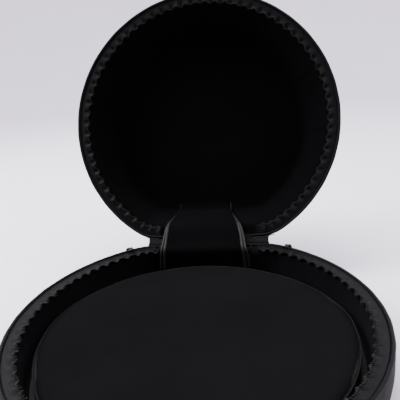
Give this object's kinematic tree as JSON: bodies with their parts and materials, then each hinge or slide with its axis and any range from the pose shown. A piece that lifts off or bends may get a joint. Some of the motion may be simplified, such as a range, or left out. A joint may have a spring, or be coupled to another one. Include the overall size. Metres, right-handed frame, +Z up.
{
  "type": "round zip-around instrument case",
  "caption": "Round padded instrument case with a hinged bowl lid, a zip round the rim, a lift-out floor pad and a carry handle.",
  "frame": {"origin": "centre of the case's round outline, on its flat bottom face", "axes": "+Z up, +Y to the hinge at the back, -Y to the handle at the front, +X to the right seen from the front"},
  "size_m": [0.4006, 0.6254, 0.4237],
  "materials": {
    "outer_cloth": "woven nylon, matt black",
    "lining": "brushed tricot, matt black",
    "pad_cloth": "napped cloth, black",
    "piping": "woven binding over cord",
    "zip_tape": "woven satin tape",
    "zip_coil": "nylon coil",
    "foam": "closed-cell foam",
    "board": "stiff sheet",
    "webbing": "ribbed webbing",
    "grip": "soft rubber sleeve",
    "handle_plastic": "moulded, fine texture",
    "pin_steel": "turned pin",
    "zip_metal": "black enamel"
  },
  "bodies": {
    "base": {"base_bottom_cover": "outer_cloth", "base_bottom_piping": "piping", "base_floor_foam": "foam", "base_rim_piping": "piping", "base_stiffener_board": "board", "base_wall_cover": "outer_cloth", "base_wall_foam": "foam", "base_wall_lining": "lining", "base_zip_coil": "zip_coil", "base_zip_tape": "zip_tape", "handle_lug_left": "handle_plastic", "handle_lug_right": "handle_plastic", "handle_patch_left": "webbing", "handle_patch_right": "webbing", "hinge_inner_panel": "lining", "hinge_outer_panel": "outer_cloth", "hinge_welt_left": "piping", "hinge_welt_right": "piping", "zip_end_tab_left": "zip_tape", "zip_end_tab_right": "zip_tape"},
    "lid": {"lid_rim_piping": "piping", "lid_top_cover": "outer_cloth", "lid_top_foam": "foam", "lid_top_lining": "lining", "lid_top_piping": "piping", "lid_wall_cover": "outer_cloth", "lid_wall_foam": "foam", "lid_wall_lining": "lining", "lid_zip_coil": "zip_coil", "lid_zip_tape": "zip_tape"},
    "pad": {"floor_pad_cover": "pad_cloth", "floor_pad_foam": "foam"},
    "slider_left": {"slider_left": "zip_metal"},
    "slider_right": {"slider_right": "zip_metal"},
    "puller_left": {"puller_left": "zip_metal"},
    "puller_right": {"puller_right": "zip_metal"},
    "handle": {"handle_grip": "grip", "handle_pin_left": "pin_steel", "handle_pin_right": "pin_steel", "handle_webbing": "webbing"}
  },
  "joints": [
    {"name": "lid_hinge", "type": "hinge", "parent": "base", "child": "lid", "pos_m": [0, 0.1834, 0.064], "axis": [-1, 0, 0], "range_deg": [-110, 0], "deforming": ["hinge_outer_panel", "hinge_inner_panel", "hinge_welt_left", "hinge_welt_right"]},
    {"name": "pad_lift", "type": "slide", "parent": "base", "child": "pad", "axis": [0, 0, 1], "range_m": [0, 0.12]},
    {"name": "slider_left_run", "type": "hinge", "parent": "base", "child": "slider_left", "pos_m": [0, 0, 0.064], "axis": [0, 0, 1], "range_deg": [0, 142]},
    {"name": "slider_right_run", "type": "hinge", "parent": "base", "child": "slider_right", "pos_m": [0, 0, 0.064], "axis": [0, 0, -1], "range_deg": [0, 142]},
    {"name": "puller_left_swing", "type": "hinge", "parent": "slider_left", "child": "puller_left", "pos_m": [-0.11781, 0.16825, 0.06045], "axis": [0.8192, 0.5736, 0], "range_deg": [-3, 150]},
    {"name": "puller_right_swing", "type": "hinge", "parent": "slider_right", "child": "puller_right", "pos_m": [0.11781, 0.16825, 0.06045], "axis": [0.8192, -0.5736, 0], "range_deg": [-3, 150]},
    {"name": "handle_swing", "type": "hinge", "parent": "base", "child": "handle", "pos_m": [0, -0.205, 0.028], "axis": [-1, 0, 0], "range_deg": [-32, 25]}
  ]
}
